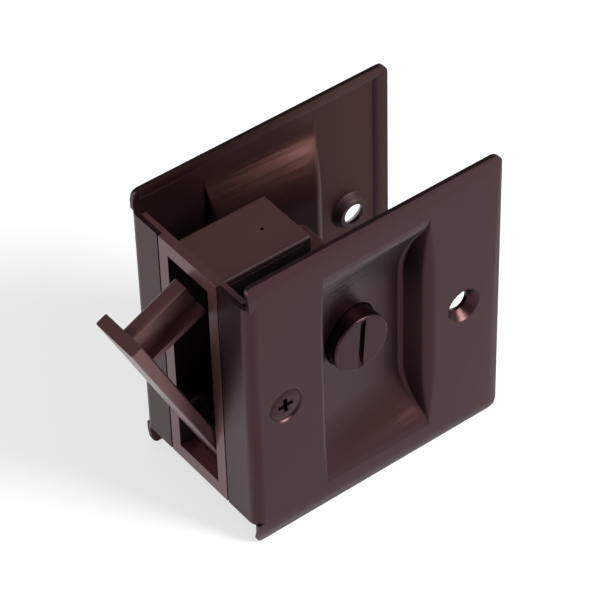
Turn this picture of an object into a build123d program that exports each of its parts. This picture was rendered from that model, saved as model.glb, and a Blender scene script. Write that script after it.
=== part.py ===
from build123d import *
import math
import os

os.makedirs("parts", exist_ok=True)

# Sizes along x count back from the face of the door edge, y = 0 is the middle of the door
# thickness and z = 0 is the screw line of the lock. The stored pieces are moved along x so
# that the origin lies on the axis of the two rear screw holes.
# The hook is drawn swung out and the coin slot stands upright: the door is locked.

# Door and side plates
DOOR_THICKNESS = 34.9
PLATE_LENGTH = 63.5
PLATE_HEIGHT = 70.0
SHEET = 1.0
PLATE_CORNER_R = 1.4
RIM_WIDTH = 3.0
RIM_DROP = 0.8
FLANGE_INSET = 5.25
FLANGE_EDGE_Y = 9.8
BEND_R = 2.4
TAB_START_X = 0.5
BEND_ZONE_X = 3.4

# Finger recess pressed into each plate: a scoop that runs out towards its upper and lower ends
RECESS_START_X = 18.1
RECESS_END_X = 44.6
RECESS_MARGIN = 6.8
RECESS_WALL_SLOPE = 65.0
FLOOR_FRONT_DEPTH = 2.1
FLOOR_REAR_DEPTH = 6.4
FRONT_LIP_R = 1.6
FRONT_FOOT_R = 0.9
REAR_LIP_R = 3.0
REAR_FOOT_R = 1.2
BEND_SHARE = 0.45
SCOOP_RUN = 16.0
SCOOP_LIP_SHARE = 0.2
SCOOP_LIP_STEPS = 3
SCOOP_STEPS = 7
SCOOP_END_SHARE = 0.02
SCOOP_END_SHIFT = 0.3
SCOOP_TIP_LENGTH = 1.2
SCOOP_TIP_LIFT = 0.2

# Screw seats of the plates
SEAT_RIM_R = 4.1
SEAT_HOLE_R = 2.4
SEAT_DEPTH = 1.9
SEAT_WALL = 0.9
REAR_SEAT_X = 53.6
CASE_SEAT_X = 8.4

# Die-cast case
STRIP_DEPTH = 2.2
STRIP_HALF_Y = 9.4
WING_HALF_Y = 16.4
OPENING_HALF_Y = 6.5
OPENING_INSET = 0.1
CASE_DEPTH = 24.0
CASE_HALF_Y = 7.8
CASE_INSET = 1.75
CASE_WALL = 1.3
CASE_EDGE_R = 0.9
ROOF_WALL = 1.5
HOUSING_END_X = 35.4
HOUSING_TOP = 15.2
HOUSING_BOTTOM = -12.4
HOUSING_CORNER_R = 4.0
COVER_GAP = 0.05

# Hook, its pivot and its swing
HOOK_SWING = 25.5
PIVOT_X = 5.4
PIVOT_RISE = 9.6
HOOK_HALF_WIDTH = 6.0
HOOK_THICKNESS = 2.8
HOOK_TOP_GAP = 0.49
HOOK_HEEL_R = 9.3
HOOK_EDGE_R = 0.4
STEM_LENGTH = 14.1
STEM_DROP = 1.5
STEM_RIB_HALF = 1.75
STEM_RIB_HEIGHT = 5.9
STEM_FOOT_HALF = 4.2
STEM_FOOT_THICKNESS = 1.3
BOSS_R = 3.6
BOSS_HALF_WIDTH = 5.5
PIVOT_PIN_R = 2.0
PIVOT_HEAD_R = 2.9
PIVOT_HEAD_HEIGHT = 1.0
PIVOT_PIN_TAIL = 2.0
CLIP_R = 3.0
CLIP_THICKNESS = 0.7
CLIP_GROOVE_R = 1.5
CLIP_MOUTH = 2.4
TAIL_HALF_THICKNESS = 1.6
TAIL_HALF_WIDTH = 3.0
PRONG_WIDTH = 2.2
FORK_TIP_LENGTH = 0.5
FORK_TIP_R = 0.8
STEM_RIDGE_R = 0.8

# Turn spindle and crank
SPINDLE_X = 27.2
SPINDLE_Z = 5.6
TURN_ANGLE = 90.0
SPINDLE_SQUARE = 4.0
SPINDLE_HALF_LENGTH = 16.6
JOURNAL_R = 4.5
BEARING_BOSS_R = 6.5
BEARING_BOSS_HEIGHT = 1.5
CRANK_PIN_R = 1.5
CRANK_ARM_R = 2.7
CRANK_HUB_R = 4.9
CRANK_ARM_THICKNESS = 2.8
CRANK_LAYER_GAP = 0.4
BUSH_GAP = 1.4

# Turn buttons
BUTTON_R = 6.7
BUTTON_PROUD = 0.2
BUTTON_EDGE_R = 0.5
BUTTON_HOLE_GAP = 0.3
BUTTON_FLANGE_R = 8.3
BUTTON_FLANGE_THICKNESS = 1.4
BUTTON_FLANGE_GAP = 0.35
BUTTON_NECK_R = 3.9
COIN_SLOT_LENGTH = 12.8
COIN_SLOT_WIDTH = 1.3
COIN_SLOT_DEPTH = 1.3
COIN_SLOT_TILT = 4.5
GRIP_LENGTH = 12.4
GRIP_WIDTH = 3.8
GRIP_HEIGHT = 3.6
GRIP_EDGE_R = 1.0
WASHER_R = 7.4
WASHER_THICKNESS = 0.5

# Screws
PLATE_SCREW_R = 1.9
PLATE_SCREW_LENGTH = 9.0
PLATE_SCREW_SINK = 0.25
POST_R = 3.6
COVER_SCREW_R = 1.25
COVER_SCREW_HEAD_R = 2.3
COVER_SCREW_LENGTH = 8.0
COVER_BOSS_R = 2.4
COVER_BOSS_INSET = 2.6
COVER_TOP_DROP = 6.5
COVER_WEB_HALF = 1.1

# Clearances of the running and seated fits
RUN_CLEARANCE = 0.05
SLIDE_CLEARANCE = 0.04
SCREW_CLEARANCE = 0.03
FORK_CLEARANCE = 0.12
NECK_CLEARANCE = 0.15
WASHER_CLEARANCE = 0.1
WASHER_BORE_CLEARANCE = 0.4
PILOT_RUN_OUT = 0.5

# Run of one form into the next within a piece, and of a cut past a face
MERGE = 0.2
PAST = 1.0
THROUGH = 20.0

# Levels that follow from the sizes above
PANEL_BACK_Y = DOOR_THICKNESS / 2 + RIM_DROP
PANEL_FACE_Y = PANEL_BACK_Y + SHEET
FLANGE_HEIGHT = PLATE_HEIGHT - 2 * FLANGE_INSET
RECESS_HALF_HEIGHT = PLATE_HEIGHT / 2 - RECESS_MARGIN
STRIP_HEIGHT = FLANGE_HEIGHT
CASE_HALF_HEIGHT = STRIP_HEIGHT / 2 - CASE_INSET
WING_FRONT_X = SHEET + COVER_GAP
CAVITY_HALF_Y = CASE_HALF_Y - CASE_WALL
CAVITY_HALF_HEIGHT = CASE_HALF_HEIGHT - ROOF_WALL
CAVITY_END_X = CASE_DEPTH - CASE_WALL
OPENING_HALF_HEIGHT = CAVITY_HALF_HEIGHT - OPENING_INSET
PIVOT_Z = PIVOT_RISE - OPENING_HALF_HEIGHT
HOOK_REACH = math.hypot(OPENING_HALF_HEIGHT - HOOK_TOP_GAP - PIVOT_Z, PIVOT_X)
COVER_TOP_SCREW_Z = CAVITY_HALF_HEIGHT - COVER_TOP_DROP
SEAT_BACK_Y = PANEL_FACE_Y - SEAT_DEPTH - SEAT_WALL
RECESS_LENGTH = RECESS_END_X - RECESS_START_X
FLOOR_RISE = (FLOOR_REAR_DEPTH - FLOOR_FRONT_DEPTH) / RECESS_LENGTH
FLOOR_TILT = math.degrees(math.atan(FLOOR_RISE))
BOSS_FACE_Y = CASE_HALF_Y + BEARING_BOSS_HEIGHT
COVER_SCREWS = {
    "top": (CAVITY_END_X - COVER_BOSS_INSET, COVER_TOP_SCREW_Z),
    "bottom": (CAVITY_END_X - COVER_BOSS_INSET, COVER_BOSS_INSET - CAVITY_HALF_HEIGHT),
    "rear": (
        HOUSING_END_X - CASE_WALL - COVER_BOSS_INSET,
        HOUSING_BOTTOM + CASE_WALL + COVER_BOSS_INSET,
    ),
}

# Linkage: the crank pin lies on both end positions of the fork's middle line
CENTRE_DISTANCE = math.hypot(SPINDLE_X - PIVOT_X, SPINDLE_Z - PIVOT_Z)
LINE_ANGLE = math.degrees(math.atan2(SPINDLE_Z - PIVOT_Z, SPINDLE_X - PIVOT_X))
HALF_TURN = math.radians(TURN_ANGLE / 2)
HALF_SWING = math.radians(HOOK_SWING / 2)
CRANK_RADIUS = CENTRE_DISTANCE * math.tan(HALF_SWING) / (
    math.sin(HALF_TURN) + math.cos(HALF_TURN) * math.tan(HALF_SWING)
)
CRANK_REST_ANGLE = LINE_ANGLE + 180.0 - TURN_ANGLE / 2
TAIL_STOWED_ANGLE = LINE_ANGLE - HOOK_SWING / 2


def pin_in_fork(share):
    """Place of the crank pin seen from the fork, as reach and side offset, at a share of the turn."""
    turn = HALF_TURN * share
    along = CENTRE_DISTANCE - CRANK_RADIUS * math.cos(turn)
    across = CRANK_RADIUS * math.sin(turn)
    reach = math.hypot(along, across)
    return reach, reach * math.sin(math.atan2(across, along) - HALF_SWING * share)


PIN_PATH = [pin_in_fork(step / 40) for step in range(41)]
FORK_HALF_GAP = CRANK_PIN_R + FORK_CLEARANCE + max(abs(side) for reach, side in PIN_PATH)
FORK_BOTTOM = min(reach for reach, side in PIN_PATH) - CRANK_PIN_R - 2 * FORK_CLEARANCE
FORK_TIP = max(reach for reach, side in PIN_PATH) + FORK_TIP_LENGTH
FORK_HALF_WIDTH = FORK_HALF_GAP + PRONG_WIDTH


def facing(depth):
    """Sketch plane parallel to the plate, a depth below its outer face, looking into the lock."""
    return Plane((0, PANEL_FACE_Y - depth, 0), x_dir=(1, 0, 0), z_dir=(0, -1, 0))


def block(x0, x1, y0, y1, z0, z1):
    """Box between two opposite corners."""
    return Pos((x0 + x1) / 2, (y0 + y1) / 2, (z0 + z1) / 2) * Box(x1 - x0, y1 - y0, z1 - z0)


def bar_y(x, z, radius, y0, y1):
    """Round bar across the door thickness."""
    length = abs(y1 - y0)
    return Pos(x, (y0 + y1) / 2, z) * Rot(90, 0, 0) * Cylinder(radius, length)


def cone_y(x, z, radius0, radius1, y0, y1):
    """Round taper across the door thickness, radius0 at y0 and radius1 at y1."""
    tilt = -90 if y1 > y0 else 90
    return Pos(x, (y0 + y1) / 2, z) * Rot(tilt, 0, 0) * Cone(radius0, radius1, abs(y1 - y0))


def profile(points, y0, y1):
    """Outline in the x-z plane carried across the door thickness."""
    plane = Plane((0, y0, 0), x_dir=(1, 0, 0), z_dir=(0, -1, 0))
    sketch = make_face(Polyline(*points, close=True))
    return extrude(plane * sketch, amount=-(y1 - y0))


def on_pivot(shape, angle):
    """Shape turned about the hook pivot."""
    return Pos(PIVOT_X, 0, PIVOT_Z) * Rot(0, angle, 0) * Pos(-PIVOT_X, 0, -PIVOT_Z) * shape


def flip(shape):
    """The same piece for the other side of the door."""
    return mirror(shape, about=Plane.XZ)


def skin_shift(angle):
    """Sideways shift of a bend line between the two skins of the sheet."""
    return SHEET * math.tan(math.radians(angle) / 2)


def floor_depth(x):
    """Depth of the recess floor below the outer face."""
    return FLOOR_FRONT_DEPTH + (x - RECESS_START_X) * FLOOR_RISE


def bend(before, corner, after, run):
    """Start, middle and end of the round of a corner that takes a run off both its sides."""
    middle = Vector(*corner)
    back = (Vector(*before) - middle).normalized()
    on = (Vector(*after) - middle).normalized()
    half = math.acos(back.dot(on)) / 2
    radius = run * math.tan(half)
    crown = middle + (back + on).normalized() * (radius / math.sin(half) - radius)
    return middle + back * run, crown, middle + on * run


def bend_run(radius, turn, wall):
    """Length that a bend takes off a wall, kept within the wall's own length."""
    most = BEND_SHARE * wall
    return min(max(radius * math.tan(turn / 2), most / 4), most)


def recess_bends(level, share):
    """Corners of the recess section of one skin and the runs of their bends, at a share of the depth."""
    wall = math.radians(RECESS_WALL_SLOPE)
    lean = 1 / math.tan(wall)
    shift = level * math.tan(wall / 2)
    rise = share * FLOOR_RISE
    front = (share * FLOOR_FRONT_DEPTH - shift * rise) / (1 - lean * rise)
    rear = (share * FLOOR_REAR_DEPTH + shift * rise) / (1 + lean * rise)
    x0, x1 = RECESS_START_X - shift, RECESS_END_X + shift
    top = PANEL_FACE_Y - level
    corners = [(x0, top), (x0 + front * lean, top - front), (x1 - rear * lean, top - rear), (x1, top)]
    tilt = math.atan(rise)
    front_wall, rear_wall = front / math.sin(wall), rear / math.sin(wall)
    runs = [
        bend_run(share * FRONT_LIP_R - level, wall, front_wall),
        bend_run(share * FRONT_FOOT_R + level, wall - tilt, front_wall),
        bend_run(share * REAR_FOOT_R + level, wall + tilt, rear_wall),
        bend_run(share * REAR_LIP_R - level, wall, rear_wall),
    ]
    return corners, runs


def recess_space(level, share, z, lift):
    """Section of the space over the recess at a height, lifted off the plate beyond the scoop's ends."""
    corners, runs = recess_bends(level, share)
    top = PANEL_FACE_Y - level
    path = [(corners[0][0] - PAST, top)] + corners + [(corners[3][0] + PAST, top)]
    bends = [bend(*three, run) for *three, run in zip(path, path[1:], path[2:], runs)]
    edges = [ThreePointArc(*points) for points in bends]
    edges += [Line(one[2], two[0]) for one, two in zip(bends, bends[1:])]
    over = Vector(0, PAST)
    first, last = bends[0][0], bends[3][2]
    edges += [Line(last, last + over), Line(last + over, first + over), Line(first + over, first)]
    return Pos(0, lift, z) * make_face(edges)


def scoop_share(run):
    """Share of the full depth along the run-out of the scoop: a lip arc that passes into a hollow one."""
    if run < SCOOP_LIP_SHARE:
        share = run**2 / SCOOP_LIP_SHARE
    else:
        share = 1 - (1 - run) ** 2 / (1 - SCOOP_LIP_SHARE)
    return SCOOP_END_SHARE + (1 - SCOOP_END_SHARE) * share


def scoop(level):
    """Space of the finger recess over one skin: full depth in the middle, run out to both ends."""
    half = RECESS_HALF_HEIGHT + SCOOP_END_SHIFT * level / SHEET
    hollow = 1 - SCOOP_LIP_SHARE
    runs = [SCOOP_LIP_SHARE * step / SCOOP_LIP_STEPS for step in range(SCOOP_LIP_STEPS)]
    runs += [SCOOP_LIP_SHARE + hollow * step / SCOOP_STEPS for step in range(SCOOP_STEPS + 1)]
    rows = [(half + SCOOP_TIP_LENGTH, SCOOP_END_SHARE, SCOOP_TIP_LIFT)]
    rows += [(half - SCOOP_RUN * run, scoop_share(run), 0) for run in runs]
    rows += [(-z, share, lift) for z, share, lift in reversed(rows)]
    return loft([recess_space(level, share, z, lift) for z, share, lift in rows], ruled=True)


def plate_skin(inner):
    """Everything below one skin of the pressed plate: its outer skin, or its inner one."""
    level = SHEET if inner else 0.0
    rim = RIM_WIDTH
    if inner:
        rim += skin_shift(math.degrees(math.atan2(RIM_DROP, RIM_WIDTH)))
    half = PLATE_HEIGHT / 2
    crease = Pos((PLATE_LENGTH - rim) / 2, 0) * Rectangle(PLATE_LENGTH - rim, 2 * (half - rim))
    outline = Pos(PLATE_LENGTH / 2, 0) * Rectangle(PLATE_LENGTH, 2 * half)
    body = loft([facing(level) * crease, facing(level + RIM_DROP) * outline], ruled=True)
    body += extrude(facing(level + RIM_DROP) * outline, amount=2 * FLOOR_REAR_DEPTH)
    return body - scoop(level)


def edges_at(edges, x, y):
    """Edges whose middle lies at a place in x and y."""
    return [e for e in edges if math.hypot(e.center().X - x, e.center().Y - y) < 0.01]


def screw_seat(x):
    """Cone pressed inwards round a screw hole, as added wall and as the space cut away."""
    top = PANEL_FACE_Y
    wall = cone_y(x, 0, SEAT_HOLE_R + SEAT_WALL, SEAT_RIM_R + SEAT_WALL, SEAT_BACK_Y, top - MERGE)
    space = cone_y(x, 0, SEAT_HOLE_R, SEAT_RIM_R, top - SEAT_DEPTH, top)
    space += bar_y(x, 0, SEAT_HOLE_R, SEAT_BACK_Y - PAST, top - SEAT_DEPTH)
    return wall, space


def side_plate():
    """Pressed sheet plate of the thumb-turn side with its front flange, recess and screw seats."""
    half = PLATE_HEIGHT / 2
    flange_half = FLANGE_HEIGHT / 2
    sheet = plate_skin(False) - plate_skin(True)
    width = PLATE_LENGTH - TAB_START_X
    trim = Pos(TAB_START_X + width / 2, 0) * RectangleRounded(width, PLATE_HEIGHT, PLATE_CORNER_R)
    sheet = sheet & extrude(facing(0) * trim, amount=2 * FLOOR_REAR_DEPTH)
    sheet -= block(-PAST, BEND_ZONE_X, 0, half, -flange_half, flange_half)
    flange = block(0, BEND_ZONE_X + MERGE, PANEL_BACK_Y, PANEL_FACE_Y, -flange_half, flange_half)
    flange += block(0, SHEET, FLANGE_EDGE_Y, PANEL_FACE_Y, -flange_half, flange_half)
    upright = flange.edges().filter_by(Axis.Z)
    flange = fillet(edges_at(upright, 0, PANEL_FACE_Y), BEND_R)
    upright = flange.edges().filter_by(Axis.Z)
    flange = fillet(edges_at(upright, SHEET, PANEL_BACK_Y), BEND_R - SHEET)
    plate = sheet + flange
    for x in (REAR_SEAT_X, CASE_SEAT_X):
        wall, space = screw_seat(x)
        plate = plate + wall - space
    hole_r = BUTTON_R + BUTTON_HOLE_GAP
    return plate - bar_y(SPINDLE_X, SPINDLE_Z, hole_r, 0, PANEL_FACE_Y + PAST)


def screw_post(sign):
    """Post that carries one side plate, with the pilot hole of its screw."""
    post = bar_y(CASE_SEAT_X, 0, POST_R, sign * (CASE_HALF_Y - MERGE), sign * SEAT_BACK_Y)
    tip = SEAT_BACK_Y - PLATE_SCREW_LENGTH
    pilot_r = PLATE_SCREW_R + SCREW_CLEARANCE
    return post, bar_y(CASE_SEAT_X, 0, pilot_r, sign * tip, sign * (SEAT_BACK_Y + PAST))


def bearing(sign):
    """Boss that the turn spindle runs in, and its bore."""
    inner, outer = sign * (CAVITY_HALF_Y - PAST), sign * (BOSS_FACE_Y + PAST)
    boss = bar_y(SPINDLE_X, SPINDLE_Z, BEARING_BOSS_R, sign * (CASE_HALF_Y - MERGE), sign * BOSS_FACE_Y)
    return boss, bar_y(SPINDLE_X, SPINDLE_Z, JOURNAL_R + RUN_CLEARANCE, inner, outer)


def housing(inset, y0, y1, x0):
    """Rounded rear part of the case round the spindle, shrunk by an inset."""
    x1 = HOUSING_END_X - inset
    z0 = HOUSING_BOTTOM + inset
    z1 = HOUSING_TOP - inset
    body = block(x0, x1, y0, y1, z0, z1)
    rear = [e for e in body.edges().filter_by(Axis.Y) if e.center().X > x1 - 0.01]
    return fillet(rear, HOUSING_CORNER_R - inset)


def lock_case():
    """Die-cast case: front strip with two wings, hollow block, spindle housing and far post."""
    strip_half = STRIP_HEIGHT / 2
    body = block(0, STRIP_DEPTH, -STRIP_HALF_Y, STRIP_HALF_Y, -strip_half, strip_half)
    body += block(WING_FRONT_X, STRIP_DEPTH, -WING_HALF_Y, WING_HALF_Y, -strip_half, strip_half)
    near = -CAVITY_HALF_Y
    wide = CASE_HALF_Y
    hull = block(STRIP_DEPTH - MERGE, CASE_DEPTH, -wide, wide, -CASE_HALF_HEIGHT, CASE_HALF_HEIGHT)
    body += fillet(hull.edges().filter_by(Axis.X), CASE_EDGE_R)
    body += housing(0, -wide, wide, CASE_DEPTH - PAST)
    roof = CAVITY_HALF_HEIGHT
    body -= block(STRIP_DEPTH, CAVITY_END_X, -THROUGH, CAVITY_HALF_Y, -roof, roof)
    body -= housing(CASE_WALL, -THROUGH, CAVITY_HALF_Y, CAVITY_END_X - PAST)
    mouth = OPENING_HALF_HEIGHT
    body -= block(-PAST, STRIP_DEPTH + PAST, -OPENING_HALF_Y, OPENING_HALF_Y, -mouth, mouth)
    for x, z in COVER_SCREWS.values():
        body += bar_y(x, z, COVER_BOSS_R, near, CAVITY_HALF_Y + MERGE)
        web = x + COVER_BOSS_INSET + MERGE
        body += block(x, web, near, CAVITY_HALF_Y + MERGE, z - COVER_WEB_HALF, z + COVER_WEB_HALF)
    for x, z in COVER_SCREWS.values():
        body -= bar_y(x, z, COVER_SCREW_R + SCREW_CLEARANCE, near - PAST, near + COVER_SCREW_LENGTH)
    post, pilot = screw_post(1)
    boss, bore = bearing(1)
    body = body + post + boss - bore - pilot
    return body - bar_y(PIVOT_X, PIVOT_Z, PIVOT_PIN_R + SCREW_CLEARANCE, 0, THROUGH)


def case_cover():
    """Cast side wall let into the case, which carries the near post."""
    front, back = STRIP_DEPTH + COVER_GAP, CAVITY_END_X - COVER_GAP
    tall = CAVITY_HALF_HEIGHT - COVER_GAP
    body = block(front, back, -CASE_HALF_Y, -CAVITY_HALF_Y, -tall, tall)
    body += housing(CASE_WALL + COVER_GAP, -CASE_HALF_Y, -CAVITY_HALF_Y, back - PAST)
    post, pilot = screw_post(-1)
    boss, bore = bearing(-1)
    body = body + post + boss - bore - pilot
    body -= bar_y(PIVOT_X, PIVOT_Z, PIVOT_PIN_R + SCREW_CLEARANCE, -THROUGH, 0)
    hole_r = COVER_SCREW_R + SCREW_CLEARANCE
    head_r = COVER_SCREW_HEAD_R + SCREW_CLEARANCE
    for x, z in COVER_SCREWS.values():
        body -= bar_y(x, z, hole_r, -THROUGH, 0)
        body -= cone_y(x, z, head_r, hole_r, -CASE_HALF_Y, -CAVITY_HALF_Y)
    return body


def hook_stowed():
    """Hook drawn upright in the case: front plate, rounded heel, stem, boss and forked tail."""
    top = PIVOT_Z + math.sqrt(HOOK_REACH**2 - PIVOT_X**2)
    heel = PIVOT_Z - math.sqrt(HOOK_HEEL_R**2 - PIVOT_X**2)
    plate = block(0, HOOK_THICKNESS, -HOOK_HALF_WIDTH, HOOK_HALF_WIDTH, heel - PAST, top)
    plate = fillet(plate.edges().filter_by(Axis.Z), HOOK_EDGE_R)
    below = block(-PAST, HOOK_THICKNESS + PAST, -THROUGH, THROUGH, heel - THROUGH, PIVOT_Z)
    plate -= below - bar_y(PIVOT_X, PIVOT_Z, HOOK_HEEL_R, -THROUGH, THROUGH)
    stem_top = top - STEM_DROP
    foot_top = stem_top - STEM_RIB_HEIGHT
    stem_end = HOOK_THICKNESS + STEM_LENGTH
    root = HOOK_THICKNESS - MERGE
    wide = BOSS_HALF_WIDTH
    stem = block(root, stem_end, -STEM_RIB_HALF, STEM_RIB_HALF, foot_top - MERGE, stem_top)
    foot_bottom = foot_top - STEM_FOOT_THICKNESS
    stem += block(root, stem_end, -STEM_FOOT_HALF, STEM_FOOT_HALF, foot_bottom, foot_top)
    stem = fillet(stem.edges().filter_by(Axis.X).group_by(Axis.Z)[-1], STEM_RIDGE_R)
    hook = plate + stem
    hook += bar_y(PIVOT_X, PIVOT_Z, BOSS_R, -wide, wide)
    hook += block(root, PIVOT_X, -wide, wide, PIVOT_Z - PIVOT_PIN_R - PAST, PIVOT_Z + PIVOT_PIN_R + PAST)
    hook += hook_tail()
    return hook - bar_y(PIVOT_X, PIVOT_Z, PIVOT_PIN_R + RUN_CLEARANCE, -THROUGH, THROUGH)


def hook_tail():
    """Forked arm behind the boss, in line with the crank at mid travel."""
    neck = FORK_BOTTOM - PRONG_WIDTH - PAST
    flare = FORK_HALF_WIDTH - TAIL_HALF_WIDTH
    points = [
        (0, -TAIL_HALF_WIDTH),
        (neck - flare, -TAIL_HALF_WIDTH),
        (neck, -FORK_HALF_WIDTH),
        (FORK_TIP, -FORK_HALF_WIDTH),
        (FORK_TIP, FORK_HALF_WIDTH),
        (neck, FORK_HALF_WIDTH),
        (neck - flare, TAIL_HALF_WIDTH),
        (0, TAIL_HALF_WIDTH),
    ]
    arm = profile(points, -TAIL_HALF_THICKNESS, TAIL_HALF_THICKNESS)
    arm -= block(FORK_BOTTOM, THROUGH + FORK_TIP, -THROUGH, THROUGH, -FORK_HALF_GAP, FORK_HALF_GAP)
    arm = fillet(arm.edges().filter_by(Axis.Y).group_by(Axis.X)[-1], FORK_TIP_R)
    return Pos(PIVOT_X, 0, PIVOT_Z) * Rot(0, -TAIL_STOWED_ANGLE, 0) * arm


def hook_bolt():
    """Hook swung out to its locked place."""
    return on_pivot(hook_stowed(), -HOOK_SWING)


def hook_pivot_pin():
    """Headed pin that the hook swings on."""
    tip = -CASE_HALF_Y - PIVOT_PIN_TAIL
    pin = bar_y(PIVOT_X, PIVOT_Z, PIVOT_PIN_R, tip, CASE_HALF_Y)
    pin += bar_y(PIVOT_X, PIVOT_Z, PIVOT_HEAD_R, CASE_HALF_Y, CASE_HALF_Y + PIVOT_HEAD_HEIGHT)
    groove = -CASE_HALF_Y - RUN_CLEARANCE
    neck = bar_y(PIVOT_X, PIVOT_Z, PIVOT_PIN_R + PAST, groove - CLIP_THICKNESS - RUN_CLEARANCE, groove)
    neck -= bar_y(PIVOT_X, PIVOT_Z, CLIP_GROOVE_R, -THROUGH, THROUGH)
    return pin - neck


def pivot_pin_clip():
    """Open retaining clip in the groove of the pivot pin."""
    y1 = -CASE_HALF_Y - RUN_CLEARANCE
    y0 = y1 - CLIP_THICKNESS
    clip = bar_y(PIVOT_X, PIVOT_Z, CLIP_R, y0, y1)
    clip -= bar_y(PIVOT_X, PIVOT_Z, CLIP_GROOVE_R + SCREW_CLEARANCE, -THROUGH, THROUGH)
    half = CLIP_MOUTH / 2
    return clip - block(PIVOT_X, THROUGH, -THROUGH, THROUGH, PIVOT_Z - half, PIVOT_Z + half)


def square_y(size, y0, y1):
    """Square bar on the spindle axis."""
    half = size / 2
    return block(SPINDLE_X - half, SPINDLE_X + half, y0, y1, SPINDLE_Z - half, SPINDLE_Z + half)


def crank_pin_place():
    """Place of the crank pin while the hook is out."""
    angle = math.radians(CRANK_REST_ANGLE)
    return SPINDLE_X + CRANK_RADIUS * math.cos(angle), SPINDLE_Z + CRANK_RADIUS * math.sin(angle)


def turn_crank():
    """Crank arm and far journal that turn with the spindle."""
    y0 = TAIL_HALF_THICKNESS + CRANK_LAYER_GAP
    y1 = y0 + CRANK_ARM_THICKNESS
    x, z = crank_pin_place()
    body = bar_y(SPINDLE_X, SPINDLE_Z, CRANK_HUB_R, y0, y1)
    body += bar_y(x, z, CRANK_ARM_R, y0, y1)
    arm = block(0, CRANK_RADIUS, y0, y1, -CRANK_ARM_R, CRANK_ARM_R)
    body += Pos(SPINDLE_X, 0, SPINDLE_Z) * Rot(0, -CRANK_REST_ANGLE, 0) * arm
    body += bar_y(SPINDLE_X, SPINDLE_Z, JOURNAL_R, y1 - MERGE, BOSS_FACE_Y)
    body -= square_y(SPINDLE_SQUARE + 2 * SLIDE_CLEARANCE, -THROUGH, THROUGH)
    return body - bar_y(x, z, CRANK_PIN_R + SCREW_CLEARANCE, -THROUGH, THROUGH)


def crank_pin():
    """Pin of the crank that works in the fork."""
    x, z = crank_pin_place()
    y1 = TAIL_HALF_THICKNESS + CRANK_LAYER_GAP + CRANK_ARM_THICKNESS
    return bar_y(x, z, CRANK_PIN_R, -TAIL_HALF_THICKNESS - CRANK_LAYER_GAP, y1)


def spindle_bush():
    """Near journal of the spindle, with a shoulder inside the case cover."""
    y1 = -TAIL_HALF_THICKNESS - BUSH_GAP
    body = bar_y(SPINDLE_X, SPINDLE_Z, JOURNAL_R, -BOSS_FACE_Y, y1)
    body += bar_y(SPINDLE_X, SPINDLE_Z, CRANK_HUB_R, -CAVITY_HALF_Y + NECK_CLEARANCE, y1)
    return body - square_y(SPINDLE_SQUARE + 2 * SLIDE_CLEARANCE, -THROUGH, THROUGH)


def turn_spindle():
    """Square bar that joins both turn buttons, the bush and the crank."""
    return square_y(SPINDLE_SQUARE, -SPINDLE_HALF_LENGTH, SPINDLE_HALF_LENGTH)


def button_flange_y():
    """Outer face of the button flange, just inside the deepest part of the sloped plate behind it."""
    skin = SHEET / math.cos(math.radians(FLOOR_TILT))
    return PANEL_FACE_Y - floor_depth(SPINDLE_X + BUTTON_FLANGE_R) - skin - BUTTON_FLANGE_GAP


def button():
    """Plain round button of the thumb-turn side with its flange, neck and square socket."""
    face = PANEL_FACE_Y + BUTTON_PROUD
    seat = button_flange_y()
    body = bar_y(SPINDLE_X, SPINDLE_Z, BUTTON_R, seat - MERGE, face)
    rim = body.edges().filter_by(GeomType.CIRCLE).sort_by(Axis.Y)[-1]
    body = fillet(rim, BUTTON_EDGE_R)
    body += bar_y(SPINDLE_X, SPINDLE_Z, BUTTON_FLANGE_R, seat - BUTTON_FLANGE_THICKNESS, seat)
    body += bar_y(SPINDLE_X, SPINDLE_Z, BUTTON_NECK_R, BOSS_FACE_Y + NECK_CLEARANCE, seat - MERGE)
    return body - square_y(SPINDLE_SQUARE + 2 * SLIDE_CLEARANCE, 0, SPINDLE_HALF_LENGTH + NECK_CLEARANCE)


def release_turn():
    """Emergency release button with a coin slot that a round cutter has left in its face."""
    face = PANEL_FACE_Y + BUTTON_PROUD
    cutter_r = ((COIN_SLOT_LENGTH / 2) ** 2 + COIN_SLOT_DEPTH**2) / (2 * COIN_SLOT_DEPTH)
    cutter = Rot(0, COIN_SLOT_TILT, 0) * Rot(0, 90, 0) * Cylinder(cutter_r, COIN_SLOT_WIDTH)
    slot = Pos(SPINDLE_X, face - COIN_SLOT_DEPTH + cutter_r, SPINDLE_Z) * cutter
    return flip(button() - slot)


def thumb_turn():
    """Thumb-turn button with an upright grip on its face."""
    face = PANEL_FACE_Y + BUTTON_PROUD
    plane = Plane((SPINDLE_X, face - MERGE, SPINDLE_Z), x_dir=(1, 0, 0), z_dir=(0, 1, 0))
    outline = SlotOverall(GRIP_LENGTH, GRIP_WIDTH, rotation=90)
    grip = extrude(plane * outline, amount=GRIP_HEIGHT + MERGE)
    crown = grip.faces().sort_by(Axis.Y)[-1].edges()
    return button() + fillet(crown, GRIP_EDGE_R)


def turn_washer():
    """Bowed spring washer between a bearing boss and the button flange."""
    y0 = BOSS_FACE_Y + WASHER_CLEARANCE
    y1 = button_flange_y() - BUTTON_FLANGE_THICKNESS - WASHER_CLEARANCE
    rise = y1 - y0 - WASHER_THICKNESS
    bow_r = (WASHER_R**2 + rise**2) / (2 * rise)
    crown = Pos(SPINDLE_X, y1 - bow_r, SPINDLE_Z) * Cylinder(bow_r, 3 * WASHER_R)
    crown -= Pos(SPINDLE_X, y1 - bow_r, SPINDLE_Z) * Cylinder(bow_r - WASHER_THICKNESS, 4 * WASHER_R)
    ring = bar_y(SPINDLE_X, SPINDLE_Z, WASHER_R, y0, y1 + PAST)
    ring -= bar_y(SPINDLE_X, SPINDLE_Z, BUTTON_NECK_R + WASHER_BORE_CLEARANCE, 0, THROUGH)
    return ring & crown


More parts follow.
